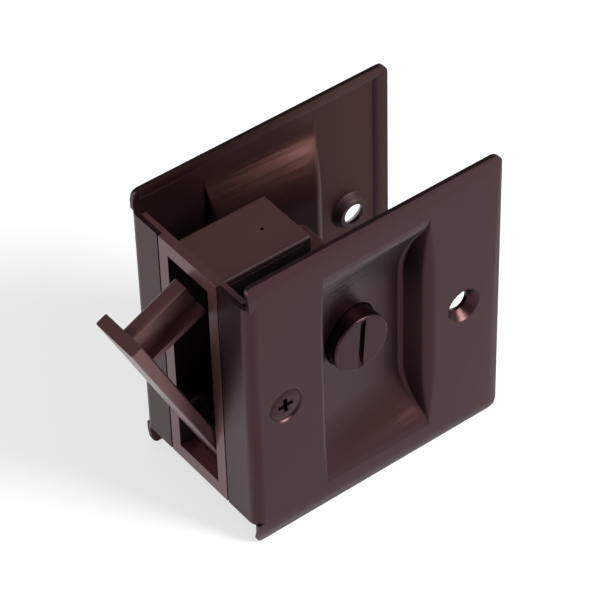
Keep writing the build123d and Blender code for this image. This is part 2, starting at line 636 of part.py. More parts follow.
def plate_screw():
    """Flat-head screw of the thumb-turn side plate."""
    face = PANEL_FACE_Y - PLATE_SCREW_SINK
    flare = (SEAT_RIM_R - SEAT_HOLE_R) / SEAT_DEPTH
    lip = SEAT_RIM_R - PLATE_SCREW_SINK * flare - SCREW_CLEARANCE / math.cos(math.atan(flare))
    throat = face - (lip - PLATE_SCREW_R) / flare
    head = cone_y(CASE_SEAT_X, 0, PLATE_SCREW_R, lip, throat, face)
    tip = SEAT_BACK_Y - PLATE_SCREW_LENGTH + PILOT_RUN_OUT
    return head + bar_y(CASE_SEAT_X, 0, PLATE_SCREW_R, tip, face - MERGE)


def cover_screw(place):
    """Small flat-head screw of the case cover."""
    x, z = COVER_SCREWS[place]
    face = -CASE_HALF_Y
    screw = cone_y(x, z, COVER_SCREW_HEAD_R, COVER_SCREW_R, face, -CAVITY_HALF_Y)
    tip = -CAVITY_HALF_Y + COVER_SCREW_LENGTH - PILOT_RUN_OUT
    return screw + bar_y(x, z, COVER_SCREW_R, face + MERGE, tip)


NODES = {
    "turn_side_plate": side_plate(),
    "lock_case": lock_case(),
    "case_cover": case_cover(),
    "hook_bolt": hook_bolt(),
    "hook_pivot_pin": hook_pivot_pin(),
    "pivot_pin_clip": pivot_pin_clip(),
    "turn_crank": turn_crank(),
    "crank_pin": crank_pin(),
    "spindle_bush": spindle_bush(),
    "turn_spindle": turn_spindle(),
    "release_turn": release_turn(),
    "thumb_turn": thumb_turn(),
    "thumb_turn_washer": turn_washer(),
    "turn_plate_screw": plate_screw(),
}
NODES["release_side_plate"] = flip(NODES["turn_side_plate"])
NODES["release_turn_washer"] = flip(NODES["thumb_turn_washer"])
NODES["release_plate_screw"] = flip(NODES["turn_plate_screw"])
for place in COVER_SCREWS:
    NODES["cover_screw_" + place] = cover_screw(place)

for name, shape in NODES.items():
    export_step(Pos(-REAR_SEAT_X, 0, 0) * shape, "parts/" + name + ".step")
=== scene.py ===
import logging
import math
from collections.abc import Callable
from dataclasses import dataclass
from enum import Enum

import bpy
from mathutils import Matrix, Vector


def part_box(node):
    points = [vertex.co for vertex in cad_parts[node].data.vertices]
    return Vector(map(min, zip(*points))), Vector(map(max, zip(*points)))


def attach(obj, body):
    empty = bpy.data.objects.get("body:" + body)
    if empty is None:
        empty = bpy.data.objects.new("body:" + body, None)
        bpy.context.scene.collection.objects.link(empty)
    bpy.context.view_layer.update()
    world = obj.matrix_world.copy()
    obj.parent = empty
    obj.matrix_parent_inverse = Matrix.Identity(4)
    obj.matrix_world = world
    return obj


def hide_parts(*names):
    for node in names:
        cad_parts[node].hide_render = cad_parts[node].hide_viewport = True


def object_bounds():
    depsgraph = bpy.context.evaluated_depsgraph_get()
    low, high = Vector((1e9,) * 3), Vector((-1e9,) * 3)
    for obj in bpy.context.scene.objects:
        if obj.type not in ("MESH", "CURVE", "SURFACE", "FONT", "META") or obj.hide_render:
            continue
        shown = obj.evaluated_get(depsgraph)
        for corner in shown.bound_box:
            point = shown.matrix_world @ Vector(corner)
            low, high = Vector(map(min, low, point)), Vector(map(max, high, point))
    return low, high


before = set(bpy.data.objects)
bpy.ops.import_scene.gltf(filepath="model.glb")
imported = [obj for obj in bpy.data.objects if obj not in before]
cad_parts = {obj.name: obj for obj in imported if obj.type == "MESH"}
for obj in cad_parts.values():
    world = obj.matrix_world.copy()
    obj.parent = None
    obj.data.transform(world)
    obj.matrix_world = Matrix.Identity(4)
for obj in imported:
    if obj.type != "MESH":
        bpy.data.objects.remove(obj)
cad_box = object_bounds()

LOG = logging.getLogger("door_lock")
MM = 0.001
MOTTLE_DETAIL = 3.0
RELIEF_DETAIL = 2.0
LACQUER_ROUGHNESS_SHARE = 0.7
CAP_FLATNESS = 0.99
CAP_NEAR_MM = 0.01


class Axis(Enum):
    """The axes of the frame, as places in a vector."""

    X = 0
    Y = 1
    Z = 2


class Side(Enum):
    """The two sides of the door, as the direction in which each one faces."""

    RELEASE = -1
    TURN = 1


class Cut(Enum):
    """What a cutting tool leaves of a piece, in Blender's names."""

    OUTSIDE = "DIFFERENCE"
    INSIDE = "INTERSECT"


def linear(code: str) -> tuple[float, float, float, float]:
    """Turns an sRGB hex colour into linear values.

    Args:
        code: Colour such as "#4e3e3d".

    Returns:
        Red, green, blue and full opacity.
    """
    shares = [int(code[i:i + 2], 16) / 255 for i in (1, 3, 5)]
    red, green, blue = (s / 12.92 if s <= 0.04045 else ((s + 0.055) / 1.055) ** 2.4 for s in shares)
    return red, green, blue, 1.0


def empty_tree(holder: bpy.types.Material | bpy.types.World) -> bpy.types.NodeTree:
    """Gives a material or world an empty node tree.

    Args:
        holder: Material or world to start.

    Returns:
        Its node tree.
    """
    holder.use_nodes = True
    holder.node_tree.nodes.clear()
    return holder.node_tree


def add_node(
    tree: bpy.types.NodeTree, kind: str, inputs: dict[str | int, object], **settings: object
) -> bpy.types.Node:
    """Adds one node with its settings, values and links.

    Args:
        tree: Node tree that the node joins.
        kind: Blender's name of the node type.
        inputs: Values for the node's sockets, or sockets that feed them.
        settings: Further settings of the node.

    Returns:
        The new node.
    """
    node = tree.nodes.new(kind)
    for name, value in settings.items():
        setattr(node, name, value)
    for name, value in inputs.items():
        if isinstance(value, bpy.types.NodeSocket):
            tree.links.new(value, node.inputs[name])
        else:
            node.inputs[name].default_value = value
    return node


def add_mix(
    tree: bpy.types.NodeTree, share: bpy.types.NodeSocket, first: object, second: object
) -> bpy.types.NodeSocket:
    """Mixes two colours.

    Args:
        tree: Node tree that the mix joins.
        share: How much of the second colour there is.
        first: First colour, or the socket that feeds it.
        second: Second colour, or the socket that feeds it.

    Returns:
        The mixed colour.
    """
    # This node's sockets have the same names for each kind of value: 6, 7 and 2 are the colours.
    node = add_node(tree, "ShaderNodeMix", {0: share, 6: first, 7: second}, data_type="RGBA")
    return node.outputs[2]


def add_noise(
    tree: bpy.types.NodeTree, place: bpy.types.NodeSocket, size_mm: float, detail: float
) -> bpy.types.NodeSocket:
    """Adds a cloudy pattern.

    Args:
        tree: Node tree that the pattern joins.
        place: Object coordinates.
        size_mm: Real size of a cloud.
        detail: How many finer steps the clouds have.

    Returns:
        The pattern, from 0 to 1.
    """
    inputs = {"Vector": place, "Scale": 1 / (size_mm * MM), "Detail": detail}
    return add_node(tree, "ShaderNodeTexNoise", inputs).outputs["Fac"]


@dataclass(frozen=True)
class RecessPaintedShade:
    """Painted shade: a darker bronze laid in a plate's recess and on its sloped rim, darker with
    the depth.
    """

    colour: str
    face_mm: float
    deep_mm: float
    from_x_mm: float
    blend_mm: float

    def over(
        self, tree: bpy.types.NodeTree, place: bpy.types.NodeSocket, tint: bpy.types.NodeSocket
    ) -> bpy.types.NodeSocket:
        """Lays painted shade over a colour, more with the depth below the plate's face.

        Args:
            tree: Node tree of the finish.
            place: Object coordinates.
            tint: Colour on the plate's face.

        Returns:
            The colour with the painted shade.
        """
        axes = add_node(tree, "ShaderNodeSeparateXYZ", {"Vector": place})
        level = add_node(tree, "ShaderNodeMath", {0: axes.outputs["Y"]}, operation="ABSOLUTE")
        depth = add_node(
            tree,
            "ShaderNodeMapRange",
            {
                "Value": level.outputs[0],
                "From Min": self.face_mm * MM,
                "From Max": (self.face_mm - self.deep_mm) * MM,
            },
            interpolation_type="SMOOTHSTEP",
        )
        behind = add_node(
            tree,
            "ShaderNodeMapRange",
            {
                "Value": axes.outputs["X"],
                "From Min": self.from_x_mm * MM,
                "From Max": (self.from_x_mm + self.blend_mm) * MM,
            },
        )
        share = add_node(
            tree,
            "ShaderNodeMath",
            {0: depth.outputs["Result"], 1: behind.outputs["Result"]},
            operation="MULTIPLY",
        )
        return add_mix(tree, share.outputs[0], tint, linear(self.colour))


@dataclass(frozen=True)
class MetalFinish:
    """A metal surface: its colour, its gloss, its lacquer, the fine relief of its making and any
    painted shade.
    """

    name: str
    colour: str
    mottle: str
    mottle_mm: float
    metallic: float = 1.0
    roughness: float = 0.34
    lacquer: float = 0.0
    relief_mm: float = 0.3
    relief_depth_mm: float = 0.002
    # Painted shade laid in the deeper parts of a plate, if any.
    recess: RecessPaintedShade | None = None

    def material(self) -> bpy.types.Material:
        """Makes the material once and gives it again after that.

        Returns:
            The material of this finish.
        """
        known = bpy.data.materials.get(self.name)
        if known:
            return known
        material = bpy.data.materials.new(self.name)
        tree = empty_tree(material)
        place = add_node(tree, "ShaderNodeTexCoord", {}).outputs["Object"]
        cloud = add_noise(tree, place, self.mottle_mm, MOTTLE_DETAIL)
        colour = add_mix(tree, cloud, linear(self.colour), linear(self.mottle))
        # Painted shade: the recess gets darker with its depth.
        if self.recess:
            colour = self.recess.over(tree, place, colour)
        grain = add_noise(tree, place, self.relief_mm, RELIEF_DETAIL)
        relief = add_node(
            tree, "ShaderNodeBump", {"Height": grain, "Distance": self.relief_depth_mm * MM}
        )
        surface = add_node(
            tree,
            "ShaderNodeBsdfPrincipled",
            {
                "Base Color": colour,
                "Metallic": self.metallic,
                "Roughness": self.roughness,
                "Coat Weight": self.lacquer,
                "Coat Roughness": self.roughness * LACQUER_ROUGHNESS_SHARE,
                "Normal": relief.outputs["Normal"],
            },
        )
        add_node(tree, "ShaderNodeOutputMaterial", {"Surface": surface.outputs["BSDF"]})
        return material


class Finish(Enum):
    """The finishes of the lock."""

    # Pressed steel sheet, bronze plated and rubbed: an even satin brown with broad reflections.
    PRESSED_PLATE = MetalFinish(
        name="rubbed_bronze_on_pressed_steel",
        colour="#3d2829",
        mottle="#392526",
        mottle_mm=9.0,
        metallic=0.94,
        relief_mm=0.5,
        relief_depth_mm=0.003,
        # Painted shade in the recess and on the sloped rim, darker with the depth.
        recess=RecessPaintedShade(
            colour="#331f1e", face_mm=19.1, deep_mm=2.4, from_x_mm=-36.4, blend_mm=1.0
        ),
    )
    # The plate's inner side, which the spray only reaches thinly: redder and duller.
    PLATE_INSIDE = MetalFinish(
        name="thin_bronze_on_sheet_inside",
        colour="#3d2623",
        mottle="#392320",
        mottle_mm=7.0,
        metallic=0.95,
        roughness=0.46,
        relief_mm=0.5,
        relief_depth_mm=0.004,
    )
    # Painted shade: an almost black metal with hardly any shine, laid on corners, steps and faces
    # inside the lock where shade falls.
    MISSED_CORNER = MetalFinish(
        name="painted_shade_metal",
        colour="#2c1a18",
        mottle="#291816",
        mottle_mm=4.0,
        metallic=0.6,
        roughness=0.55,
        relief_mm=0.5,
        relief_depth_mm=0.004,
    )
    # Zinc casting under bronze and a thin lacquer: a little rougher, so its edges shine less.
    CAST_CASE = MetalFinish(
        name="lacquered_bronze_on_cast_zinc",
        colour="#573836",
        mottle="#533533",
        mottle_mm=6.0,
        metallic=0.65,
        roughness=0.36,
        lacquer=0.25,
        relief_mm=0.7,
        relief_depth_mm=0.004,
    )
    # Turned brass under the rubbed bronze: darker than the plates, with a finer grain.
    TURNED_BUTTON = MetalFinish(
        name="rubbed_bronze_on_turned_brass",
        colour="#352122",
        mottle="#311e1f",
        mottle_mm=5.0,
        metallic=0.94,
        relief_mm=0.4,
    )
    # Cold-headed screw steel, bronzed: the same dark shine as the buttons.
    BRONZED_SCREW = MetalFinish(
        name="bronzed_screw_steel",
        colour="#352122",
        mottle="#311e1f",
        mottle_mm=3.0,
        metallic=0.94,
        relief_mm=0.4,
    )
    # Drawn steel with a bright zinc plating: a cool grey with a satin gloss.
    PLATED_STEEL = MetalFinish(
        name="zinc_plated_steel", colour="#a9abab", mottle="#a0a2a3", mottle_mm=3.0, roughness=0.32
    )
    # Tempered spring steel: a plain grey, darker than the plated pieces.
    SPRING_STEEL = MetalFinish(
        name="tempered_spring_steel",
        colour="#6d6c6b",
        mottle="#646362",
        mottle_mm=3.0,
        roughness=0.35,
    )
    # Turned free-cutting brass, left bare: a warm yellow.
    BRASS = MetalFinish(
        name="turned_brass", colour="#b89a5c", mottle="#b39454", mottle_mm=3.0, roughness=0.3
    )


def focus(piece: bpy.types.Object) -> None:
    """Selects one object alone and makes it the active one.

    Args:
        piece: Object to work on.
    """
    if bpy.context.object and bpy.context.object.mode != "OBJECT":
        bpy.ops.object.mode_set(mode="OBJECT")
    bpy.ops.object.select_all(action="DESELECT")
    piece.select_set(True)
    bpy.context.view_layer.objects.active = piece


def unmark(piece: bpy.types.Object, kind: str) -> None:
    """Clears the selection in a mesh, so that its faces or edges can be marked.

    Args:
        piece: Piece that is being shaped.
        kind: Blender's name of what is going to be marked.
    """
    focus(piece)
    bpy.ops.object.mode_set(mode="EDIT")
    bpy.ops.mesh.select_mode(type=kind)
    bpy.ops.mesh.select_all(action="DESELECT")
    bpy.ops.object.mode_set(mode="OBJECT")


def pick_cap(piece: bpy.types.Object, axis: Axis, level: float) -> None:
    """Opens a mesh and selects the flat cap at a level.

    Args:
        piece: Piece that is being shaped.
        axis: Axis that the cap faces along.
        level: Place of the cap on that axis in metres.
    """
    unmark(piece, "FACE")
    for face in piece.data.polygons:
        flat = abs(face.normal[axis.value]) > CAP_FLATNESS
        face.select = flat and abs(face.center[axis.value] - level) < CAP_NEAR_MM * MM
    bpy.ops.object.mode_set(mode="EDIT")


def block(low: Vector, high: Vector) -> bpy.types.Object:
    """Makes a plain block.

    Args:
        low: Lowest corner in metres.
        high: Highest corner in metres.

    Returns:
        The block, with its place in its mesh.
    """
    bpy.ops.object.select_all(action="DESELECT")
    bpy.ops.mesh.primitive_cube_add(size=1, location=(low + high) / 2)
    piece = bpy.context.object
    piece.scale = high - low
    bpy.ops.object.transform_apply(location=True, rotation=True, scale=True)
    return piece


def carve(piece: bpy.types.Object, tool: bpy.types.Object, keep: Cut) -> None:
    """Cuts a piece with another one, which is used up.

    Args:
        piece: Piece that is cut.
        tool: Cutting piece.
        keep: Part of the piece that stays.
    """
    cut = piece.modifiers.new("cut", "BOOLEAN")
    cut.operation = keep.value
    cut.solver = "EXACT"
    cut.object = tool
    focus(piece)
    bpy.ops.object.modifier_apply(modifier=cut.name)
    bpy.data.objects.remove(tool, do_unlink=True)


def dress(piece: bpy.types.Object, finish: Finish) -> None:
    """Gives an object one finish all over.

    Args:
        piece: Object to dress.
        finish: Finish that it gets.
    """
    piece.data.materials.clear()
    piece.data.materials.append(finish.value.material())


def redress(
    piece: bpy.types.Object, finish: Finish, wanted: Callable[[bpy.types.MeshPolygon], bool]
) -> None:
    """Gives some faces of a dressed piece a further finish.

    Args:
        piece: Piece that has its first finish.
        finish: Finish that the faces get.
        wanted: Tells whether a face gets it.
    """
    index = len(piece.data.materials)
    piece.data.materials.append(finish.value.material())
    for face in piece.data.polygons:
        if wanted(face):
            face.material_index = index


def enter(piece: bpy.types.Object, node: str, body: str) -> None:
    """Puts a piece in the place of its solid.

    Args:
        piece: Finished piece.
        node: Name of the solid that it stands for.
        body: Body that it moves with.
    """
    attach(piece, body)
    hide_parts(node)


@dataclass
class EdgeBreak:
    """The small round that tumbling, casting or pressing leaves on a piece's edges."""

    width_mm: float
    steps: int = 2
    sharper_than: float = 38.0
    smooth_below: float = 34.0
    flat_weight: int = 100
    merge_mm: float = 0.002
    flat_angle: float = 0.4

    def copy(self, node: str) -> bpy.types.Object:
        """Copies a solid's mesh, merged and with its flat faces whole.

        Args:
            node: Name of the solid.

        Returns:
            The copy, not yet dressed.
        """
        piece = bpy.data.objects.new(node + "_finished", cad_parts[node].data.copy())
        bpy.context.scene.collection.objects.link(piece)
        focus(piece)
        bpy.ops.object.mode_set(mode="EDIT")
        bpy.ops.mesh.select_all(action="SELECT")
        bpy.ops.mesh.remove_doubles(threshold=self.merge_mm * MM)
        bpy.ops.mesh.dissolve_limited(angle_limit=math.radians(self.flat_angle))
        bpy.ops.object.mode_set(mode="OBJECT")
        return piece

    def soften(self, piece: bpy.types.Object, finish: Finish) -> None:
        """Breaks the sharp edges of a piece, smooths its curves and dresses it.

        Args:
            piece: Piece to finish.
            finish: Finish that it gets.
        """
        focus(piece)
        broken = piece.modifiers.new("broken_edges", "BEVEL")
        broken.width = self.width_mm * MM
        broken.segments = self.steps
        broken.limit_method = "ANGLE"
        broken.angle_limit = math.radians(self.sharper_than)
        bpy.ops.object.modifier_apply(modifier=broken.name)
        bpy.ops.object.shade_smooth_by_angle(angle=math.radians(self.smooth_below))
        even = piece.modifiers.new("flat_faces_stay_flat", "WEIGHTED_NORMAL")
        even.weight = self.flat_weight
        even.keep_sharp = True
        bpy.ops.object.modifier_apply(modifier=even.name)
        dress(piece, finish)

    def finished(self, node: str, body: str, finish: Finish) -> bpy.types.Object:
        """Makes the shown copy of a piece with its edges broken.

        Args:
            node: Name of the solid that the copy stands for.
            body: Body that the piece moves with.
            finish: Finish of the piece.

        Returns:
            The finished object.
        """
        piece = self.copy(node)
        self.soften(piece, finish)
        enter(piece, node, body)
        return piece


@dataclass
class CrossHeadScrew:
    """Flat-head screw with a cross recess, its sizes as shares of the head's radius."""

    node: str
    side: Side
    finish: Finish
    slot: str
    shank_share: float = 0.5
    tip_share: float = 0.35
    rim_share: float = 0.05
    rim_steps: int = 2
    drive_share: float = 0.58
    drive_width_share: float = 0.14
    drive_depth_share: float = 0.5
    drive_taper: tuple[float, float] = (0.6, 0.8)
    drive_turn: float = 2.0
    facets: int = 64
    smooth_below: float = 30.0

    def build(self) -> bpy.types.Object:
        """Models the screw in the place of its solid.

        Returns:
            The finished screw.
        """
        low, high = (Vector(corner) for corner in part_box(self.node))
        head_r = (high.x - low.x) / 2
        piece = self.shaft(head_r, high.y - low.y)
        self.cut_drive(piece, head_r)
        middle = (low + high) / 2
        face = high.y if self.side is Side.TURN else low.y
        turn = Matrix.Rotation(math.radians(-90 * self.side.value), 4, "X")
        piece.matrix_world = Matrix.Translation((middle.x, face, middle.z)) @ turn
        focus(piece)
        bpy.ops.object.transform_apply(location=True, rotation=True, scale=True)
        bpy.ops.object.shade_smooth_by_angle(angle=math.radians(self.smooth_below))
        dress(piece, self.finish)
        enter(piece, self.node, "lock_body")
        return piece

    def shaft(self, head_r: float, length: float) -> bpy.types.Object:
        """Models head and shank along +Z with the face of the head at zero.

        Args:
            head_r: Radius of the head in metres.
            length: Length of the whole screw in metres.

        Returns:
            The plain screw.
        """
        shank_r = head_r * self.shank_share
        head = head_r - shank_r
        bpy.ops.object.select_all(action="DESELECT")
        bpy.ops.mesh.primitive_cylinder_add(
            vertices=self.facets, radius=head_r, depth=head, location=(0, 0, -head / 2)
        )
        piece = bpy.context.object
        piece.name = self.node + "_finished"
        bpy.ops.object.transform_apply(location=True, rotation=True, scale=True)
        pick_cap(piece, Axis.Z, -head)
        bpy.ops.transform.resize(value=(self.shank_share, self.shank_share, 1))
        bpy.ops.mesh.extrude_region_move(
            TRANSFORM_OT_translate={"value": (0, 0, head + shank_r - length)}
        )
        bpy.ops.mesh.extrude_region_move(TRANSFORM_OT_translate={"value": (0, 0, -shank_r)})
        bpy.ops.transform.resize(value=(self.tip_share, self.tip_share, 1))
        pick_cap(piece, Axis.Z, 0)
        bpy.ops.mesh.bevel(offset=head_r * self.rim_share, segments=self.rim_steps, affect="EDGES")
        bpy.ops.object.mode_set(mode="OBJECT")
        return piece

    def cut_drive(self, piece: bpy.types.Object, head_r: float) -> None:
        """Cuts the cross recess, narrower towards its bottom.

        Args:
            piece: Screw that gets the recess.
            head_r: Radius of the head in metres.
        """
        corner = head_r * Vector(
            (self.drive_share, self.drive_width_share, self.drive_depth_share)
        )
        for quarter in (0.0, 90.0):
            cutter = block(-corner, corner)
            pick_cap(cutter, Axis.Z, -corner.z)
            bpy.ops.transform.resize(value=(*self.drive_taper, 1))
            bpy.ops.object.mode_set(mode="OBJECT")
            cutter.rotation_euler.z = math.radians(self.drive_turn + quarter)
            carve(piece, cutter, Cut.OUTSIDE)


@dataclass
class SidePlates:
    """The two pressed plates with their recesses, and the screws that hold them to the case."""

    edge_mm: float = 0.22
    flat_weight: int = 60
    inside_from: float = 0.3
    flat_from: float = 0.97
    corner_r_mm: float = 2.6
    corner_steps: int = 8
    ledge_mm: float = 2.2
    ledge_slope_mm: float = 1.2
    ledge_depth_mm: float = 0.8
    ledge_sunk_mm: float = 0.15
    ledge_start_mm: float = 2.0
    seat_r_mm: float = 5.3
    seat_top_mm: float = 18.2
    seat_tilt: float = 0.1
    clear_mm: float = 0.03

    def build(self) -> list[bpy.types.Object]:
        """Finishes both plates and models the ledges of their rims and their screws.

        Returns:
            Plate, ledge and screw of each side.
        """
        pressed = EdgeBreak(width_mm=self.edge_mm, flat_weight=self.flat_weight)
        pieces = []
        for side, name in ((Side.RELEASE, "release"), (Side.TURN, "turn")):
            node = name + "_side_plate"
            plate = pressed.copy(node)
            carve(plate, self.outline(node), Cut.INSIDE)
            pressed.soften(plate, Finish.PRESSED_PLATE)
            self.dull_inside_and_shade_seat(plate, side)
            enter(plate, node, "lock_body")
            screw = CrossHeadScrew(
                name + "_plate_screw", side, Finish.BRONZED_SCREW, "screw_bronze"
            )
            pieces += [plate, self.ledge(node, side), screw.build()]
        return pieces

    def outline(self, node: str) -> bpy.types.Object:
        """Models a block with the plate's round rear corners.

        Args:
            node: Name of the plate's solid.

        Returns:
            The block, longer than the plate at the front.
        """
        low, high = (Vector(corner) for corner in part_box(node))
        clear = self.clear_mm * MM
        spare = Vector((high.x - low.x, high.y - low.y, clear))
        over = Vector((clear, high.y - low.y, clear))
        piece = block(low - spare, high + over)
        unmark(piece, "EDGE")
        for edge in piece.data.edges:
            a, b = (piece.data.vertices[i].co for i in edge.vertices)
            edge.select = a.x > high.x and b.x > high.x and a.z == b.z
        bpy.ops.object.mode_set(mode="EDIT")
        bpy.ops.mesh.bevel(
            offset=self.corner_r_mm * MM, segments=self.corner_steps, affect="EDGES"
        )
        bpy.ops.object.mode_set(mode="OBJECT")
        return piece

    def ledge(self, node: str, side: Side) -> bpy.types.Object:
        """Models the flat ledge inside a plate's rim, which lies on the door.

        Args:
            node: Name of the plate's solid.
            side: Side of the door that the plate faces.

        Returns:
            The finished ledge, with painted shade on the step next to it.
        """
        low, high = (Vector(corner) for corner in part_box(node))
        gap = 2 * self.clear_mm * MM
        width = self.ledge_mm * MM
        deep = self.ledge_depth_mm * MM
        start = low.x + self.ledge_start_mm * MM
        door = self.door_face(node, side)
        sheet = door + (self.ledge_depth_mm + self.ledge_sunk_mm) * MM * side.value
        front, back = sorted((door, sheet))
        piece = block(
            Vector((start, front, low.z + gap)), Vector((high.x - gap, back, high.z - gap))
        )
        pocket = block(
            Vector((start - width, front - deep, low.z + width)),
            Vector((high.x - width, front + 2 * deep, high.z - width)),
        )
        self.taper(pocket, door, side)
        carve(piece, pocket, Cut.OUTSIDE)
        carve(piece, self.outline(node), Cut.INSIDE)
        EdgeBreak(width_mm=self.edge_mm / 2).soften(piece, Finish.PLATE_INSIDE)
        # Painted shade on the ledge's sloped step and its broken edges.
        redress(piece, Finish.MISSED_CORNER, lambda face: abs(face.normal.y) < self.flat_from)
        piece.name = node + "_ledge"
        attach(piece, "lock_body")
        return piece

    def taper(self, pocket: bpy.types.Object, door: float, side: Side) -> None:
        """Slopes the walls of the ledge's cutter, so that it is widest at the door.

        Args:
            pocket: Cutter, with straight walls.
            door: Y of the door's face in metres.
            side: Side of the door that the plate faces.
        """
        points = [point.co.copy() for point in pocket.data.vertices]
        middle = sum(points, Vector()) / len(points)
        half = points[0] - middle
        for level in sorted({point.y for point in points}):
            pick_cap(pocket, Axis.Y, level)
            out = (level - door) * side.value / (self.ledge_depth_mm * MM)
            shrink = self.ledge_slope_mm * MM * out
            bpy.ops.transform.resize(
                value=(1 - shrink / abs(half.x), 1, 1 - shrink / abs(half.z)),
                center_override=(middle.x, level, middle.z),
            )
            bpy.ops.object.mode_set(mode="OBJECT")

    def door_face(self, node: str, side: Side) -> float:
        """Finds the level at which a plate's rim lies on the door.

        Args:
            node: Name of the plate's solid.
            side: Side of the door that the plate faces.

        Returns:
            Y of the door's face in metres.
        """
        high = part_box(node)[1]
        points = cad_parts[node].data.vertices
        rear = [p.co.y * side.value for p in points if p.co.x > high[0] - self.clear_mm * MM]
        return min(rear) * side.value

    def dull_inside_and_shade_seat(self, plate: bpy.types.Object, side: Side) -> None:
        """Gives the faces that look into the lock the thin finish of the inside, and painted shade
        on the inner side of the rear screw's seat.

        Args:
            plate: Plate to dress.
            side: Side of the door that the plate faces.
        """

        def inwards(face: bpy.types.MeshPolygon) -> float:
            """How far a face looks into the lock, 1 for straight."""
            return -face.normal.y * side.value

        def on_seat(face: bpy.types.MeshPolygon) -> bool:
            """Whether a face is on the inner side of the rear screw's seat."""
            near = math.hypot(face.center.x, face.center.z) < self.seat_r_mm * MM
            below_panel = abs(face.center.y) < self.seat_top_mm * MM
            return near and below_panel and inwards(face) > self.seat_tilt

        redress(plate, Finish.PLATE_INSIDE, lambda face: inwards(face) > self.inside_from)
        # Painted shade on the inner side of the rear screw's seat.
        redress(plate, Finish.MISSED_CORNER, on_seat)


@dataclass
class LockCase:
    """The die-cast case with its let-in cover and the three screws of the cover."""

    edge_mm: float = 0.25
    shaded_from_x_mm: float = -48.0
    shaded_tilt: float = 0.3
    pit_r_mm: float = 0.42
    pit_mm: tuple[float, float] = (-35.7, -0.2)
    pit_depth_mm: float = 0.8
    pit_facets: int = 16
    roof_mm: float = 28.0
    cover_drive_turn: float = 40.0

    def build(self) -> list[bpy.types.Object]:
        """Finishes the castings and models the cover's screws.

        Returns:
            Case, cover and screws.
        """
        cast = EdgeBreak(width_mm=self.edge_mm)
        case = cast.copy("lock_case")
        carve(case, self.pit(), Cut.OUTSIDE)
        cover = cast.copy("case_cover")
        for node, piece in (("lock_case", case), ("case_cover", cover)):
            cast.soften(piece, Finish.CAST_CASE)
            # Painted shade on the sides of the casting that the plates shade.
            redress(piece, Finish.MISSED_CORNER, self.shaded_by_plates)
            enter(piece, node, "lock_body")
        pieces = [case, cover]
        for place in ("top", "bottom", "rear"):
            screw = CrossHeadScrew(
                "cover_screw_" + place,
                Side.RELEASE,
                Finish.PLATED_STEEL,
                "bright_steel",
                drive_turn=self.cover_drive_turn,
            )
            pieces.append(screw.build())
        return pieces

    def pit(self) -> bpy.types.Object:
        """Models the small pit that the casting's ejector leaves in the roof.

        Returns:
            The cutter of the pit.
        """
        bpy.ops.object.select_all(action="DESELECT")
        bpy.ops.mesh.primitive_cylinder_add(
            vertices=self.pit_facets,
            radius=self.pit_r_mm * MM,
            depth=2 * self.pit_depth_mm * MM,
            location=Vector((*self.pit_mm, self.roof_mm)) * MM,
        )
        bpy.ops.object.transform_apply(location=True, rotation=True, scale=True)
        return bpy.context.object

    def shaded_by_plates(self, face: bpy.types.MeshPolygon) -> bool:
        """Tells whether the plates shade a side of the casting, which then gets painted shade.

        Args:
            face: Face of the casting.

        Returns:
            True where the side gets the painted shade.
        """
        behind = face.center.x > self.shaded_from_x_mm * MM
        return behind and abs(face.normal.y) > self.shaded_tilt


@dataclass
class SwingHook:
    """The hook that swings out of the case, with its pin and the clip of the pin."""

    edge_mm: float = 0.2
    inside_from_x_mm: float = -51.5

    def build(self) -> list[bpy.types.Object]:
        """Finishes the hook and dresses its pin and clip.

        Returns:
            The hook.
        """
        cast = EdgeBreak(width_mm=self.edge_mm)
        hook = cast.finished("hook_bolt", "hook", Finish.CAST_CASE)
        inside = self.inside_from_x_mm * MM
        # Painted shade on the part of the hook inside the case.
        redress(hook, Finish.MISSED_CORNER, lambda face: face.center.x > inside)
        dress(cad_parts["hook_pivot_pin"], Finish.PLATED_STEEL)
        dress(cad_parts["pivot_pin_clip"], Finish.SPRING_STEEL)
        return [hook]


@dataclass
class TurnWork:
    """Both turn buttons, their springs and the linkage that swings the hook."""

    edge_mm: float = 0.15

    def build(self) -> list[bpy.types.Object]:
        """Finishes the buttons and dresses the hidden pieces.

        Returns:
            Both buttons.
        """
        turned = EdgeBreak(width_mm=self.edge_mm)
        pieces = [
            turned.finished(node, "turn", Finish.TURNED_BUTTON)
            for node in ("release_turn", "thumb_turn")
        ]
        for node in ("turn_spindle", "turn_crank", "crank_pin"):
            dress(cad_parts[node], Finish.PLATED_STEEL)
        for node in ("thumb_turn_washer", "release_turn_washer"):
            dress(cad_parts[node], Finish.SPRING_STEEL)
        dress(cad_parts["spindle_bush"], Finish.BRASS)
        return pieces


def towards(azimuth: float, elevation: float) -> Vector:
    """Direction from the lock to a place round it.

    Args:
        azimuth: Angle round the lock, zero in front of the release side, in degrees.
        elevation: Angle above the horizon in degrees.

    Returns:
        Unit vector.
    """
    a, e = math.radians(azimuth), math.radians(elevation)
    return Vector((math.sin(a) * math.cos(e), -math.cos(a) * math.cos(e), math.sin(e)))


@dataclass
class SoftBox:
    """A square studio lamp that points at the lock."""

    name: str
    azimuth: float
    elevation: float
    size_m: float
    power_w: float
    distance_m: float = 0.9

    def build(self, aim: Vector) -> None:
        """Hangs the lamp.

        Args:
            aim: Point that the lamp faces.
        """
        lamp = bpy.data.lights.new(self.name, "AREA")
        lamp.shape = "SQUARE"
        lamp.size = self.size_m
        lamp.energy = self.power_w
        holder = bpy.data.objects.new(self.name, lamp)
        bpy.context.scene.collection.objects.link(holder)
        away = towards(self.azimuth, self.elevation)
        holder.location = aim + away * self.distance_m
        holder.rotation_euler = away.to_track_quat("Z", "Y").to_euler()


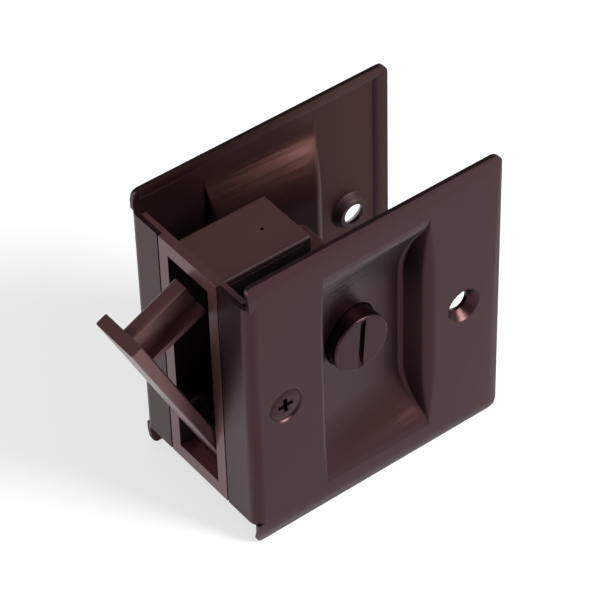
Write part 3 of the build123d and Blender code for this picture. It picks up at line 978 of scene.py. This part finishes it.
@dataclass
class Studio:
    """Floor, backdrop light, lamps and camera."""

    floor_colour: str = "#b3b2b2"
    floor_glow: float = 0.58
    floor_size_m: float = 6.0
    floor_gap_mm: float = 0.2
    room_colour: str = "#ffffff"
    sweep_strength: float = 1.0
    ceiling_strength: float = 0.24
    sweep_edge: tuple[float, float] = (0.05, 0.4)
    azimuth: float = -37.01
    elevation: float = 43.52
    roll: float = -1.39
    distance_mm: float = 630.5
    focal_px: float = 3114.2
    frame_px: float = 600.0
    aim_px: tuple[float, float] = (319.9, 301.7)
    aim_mm: tuple[float, float, float] = (-21.85, 0.0, 0.0)
    sensor_mm: float = 36.0
    near_limit_mm: float = 10.0

    def build(self) -> None:
        """Sets up the whole studio."""
        aim = Vector(self.aim_mm) * MM
        self.floor()
        self.room()
        for lamp in self.lamps():
            lamp.build(aim)
        self.camera(aim)
        bpy.context.scene.view_settings.view_transform = "Standard"

    def lamps(self) -> list[SoftBox]:
        """The soft lamps round the lock: one from the right, one low from the left."""
        return [
            SoftBox("key_softbox", azimuth=35.0, elevation=34.0, size_m=0.4, power_w=14.0),
            SoftBox("left_softbox", azimuth=-100.0, elevation=14.0, size_m=0.5, power_w=7.0),
        ]

    def floor(self) -> None:
        """Lays the pale floor under the lock, white to the camera, in gloss and through glass."""
        level = cad_box[0][2] - self.floor_gap_mm * MM
        bpy.ops.object.select_all(action="DESELECT")
        bpy.ops.mesh.primitive_plane_add(size=self.floor_size_m, location=(0, 0, level))
        ground = bpy.context.object
        ground.name = "studio_floor"
        bpy.ops.object.transform_apply(location=True, rotation=True, scale=True)
        ground.data.materials.append(self.floor_paint())

    def floor_paint(self) -> bpy.types.Material:
        """Makes the floor's pale paint, which keeps the lock's shadow.

        Returns:
            The material.
        """
        material = bpy.data.materials.new("painted_studio_floor")
        tree = empty_tree(material)
        paint = add_node(tree, "ShaderNodeBsdfDiffuse", {"Color": linear(self.floor_colour)})
        path = add_node(tree, "ShaderNodeLightPath", {})
        seen = path.outputs["Is Camera Ray"]
        for ray in ("Is Glossy Ray", "Is Transmission Ray"):
            rays = {0: seen, 1: path.outputs[ray]}
            seen = add_node(tree, "ShaderNodeMath", rays, operation="MAXIMUM").outputs[0]
        level = add_node(
            tree, "ShaderNodeMath", {0: seen, 1: self.floor_glow}, operation="MULTIPLY"
        )
        glow = add_node(
            tree,
            "ShaderNodeEmission",
            {"Color": linear(self.room_colour), "Strength": level.outputs[0]},
        )
        both = add_node(tree, "ShaderNodeAddShader", {0: paint.outputs[0], 1: glow.outputs[0]})
        add_node(tree, "ShaderNodeOutputMaterial", {"Surface": both.outputs[0]})
        return material

    def room(self) -> None:
        """Stands a white sweep round the lock, under a dim ceiling."""
        world = bpy.data.worlds.new("studio_room")
        bpy.context.scene.world = world
        tree = empty_tree(world)
        place = add_node(tree, "ShaderNodeTexCoord", {})
        height = add_node(tree, "ShaderNodeSeparateXYZ", {"Vector": place.outputs["Generated"]})
        wall = add_node(
            tree,
            "ShaderNodeMapRange",
            {
                "Value": height.outputs["Z"],
                "From Min": self.sweep_edge[0],
                "From Max": self.sweep_edge[1],
                "To Min": self.sweep_strength,
                "To Max": self.ceiling_strength,
            },
            interpolation_type="SMOOTHSTEP",
        )
        light = add_node(
            tree,
            "ShaderNodeBackground",
            {"Color": linear(self.room_colour), "Strength": wall.outputs["Result"]},
        )
        add_node(tree, "ShaderNodeOutputWorld", {"Surface": light.outputs[0]})

    def camera(self, aim: Vector) -> None:
        """Places the camera at the photograph's viewing angle.

        Args:
            aim: Point on the camera's axis.
        """
        lens = bpy.data.cameras.new("studio_camera")
        lens.sensor_width = self.sensor_mm
        lens.lens = self.focal_px * self.sensor_mm / self.frame_px
        lens.shift_x = (self.frame_px / 2 - self.aim_px[0]) / self.frame_px
        lens.shift_y = (self.aim_px[1] - self.frame_px / 2) / self.frame_px
        lens.clip_start = self.near_limit_mm * MM
        holder = bpy.data.objects.new("studio_camera", lens)
        bpy.context.scene.collection.objects.link(holder)
        back = towards(self.azimuth, self.elevation)
        right = back.cross(Vector((0, 0, 1))).normalized() * -1
        up = back.cross(right)
        tilt = Matrix.Rotation(math.radians(self.roll), 4, "Z")
        axes = Matrix((right, up, back)).transposed().to_4x4()
        spot = Matrix.Translation(aim + back * self.distance_mm * MM)
        holder.matrix_world = spot @ axes @ tilt
        bpy.context.scene.camera = holder


def main() -> None:
    """Builds the lock and its studio, piece by piece."""
    logging.basicConfig(level=logging.INFO, format="%(name)s: %(message)s")
    for assembly in (SidePlates(), LockCase(), SwingHook(), TurnWork()):
        for piece in assembly.build():
            LOG.info("%s: %d faces", piece.name, len(piece.data.polygons))
    Studio().build()


if __name__ == "__main__":
    main()
